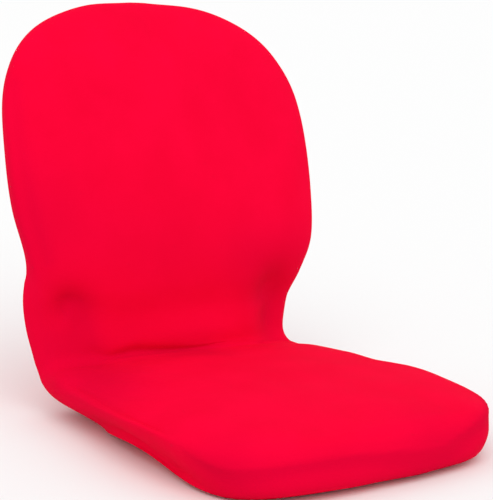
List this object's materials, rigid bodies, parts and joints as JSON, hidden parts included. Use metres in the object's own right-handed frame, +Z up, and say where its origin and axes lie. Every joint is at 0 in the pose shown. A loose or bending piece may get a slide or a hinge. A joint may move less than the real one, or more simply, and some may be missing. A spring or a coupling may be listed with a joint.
{
  "type": "upholstered seat",
  "caption": "Padded seat and reclining backrest unit in a one-piece stretch cover, with threaded inserts underneath for rails or a base.",
  "frame": {"origin": "centre of the four base inserts, on the mounting face under the seat", "axes": "+Z up, the sitter faces -Y, +X is the sitter's left; the part is symmetric about X = 0"},
  "size_m": [0.4602, 0.5446, 0.5],
  "materials": {
    "knit_cover": "smooth stretch knit, plain bright red",
    "foam": "moulded polyurethane foam, open cell",
    "elastic": "braided round elastic, red",
    "plywood": "birch plywood, clear sealed",
    "shell_plastic": "black moulded polypropylene, fine grain",
    "rubber": "black rubber, matt",
    "black_steel": "black powder coat",
    "zinc_steel": "bright zinc plate"
  },
  "bodies": {
    "seat": {"seat_shell": "shell_plastic", "seat_pan": "plywood", "seat_foam": "foam", "seat_cover": "knit_cover", "waist_cover": "knit_cover", "hem_elastic": "elastic", "base_inserts": "zinc_steel", "shell_screws": "black_steel", "hinge_bracket_left": "black_steel", "hinge_bracket_right": "black_steel", "bracket_bolts": "zinc_steel", "bracket_washers": "zinc_steel", "bracket_nuts": "zinc_steel", "stop_block": "rubber", "stop_screws": "zinc_steel", "pivot_bolt": "zinc_steel", "pivot_nut": "zinc_steel", "pivot_washers": "zinc_steel", "pivot_sleeve": "zinc_steel"},
    "back": {"torsion_rubber": "rubber", "pivot_tube": "black_steel", "stop_lug": "black_steel", "back_upright": "black_steel", "back_panel": "plywood", "back_foam": "foam", "rear_pad": "foam", "back_cover": "knit_cover", "back_bolts": "zinc_steel", "back_washers": "zinc_steel", "back_nuts": "zinc_steel"}
  },
  "joints": [
    {"name": "back_recline", "type": "hinge", "parent": "seat", "child": "back", "pos_m": [0, 0.18, 0.062], "axis": [-1, 0, 0], "range_deg": [0, 15], "stiffness_Nm_per_rad": 115, "springref_deg": -2.86, "deforming": ["waist_cover"]}
  ]
}
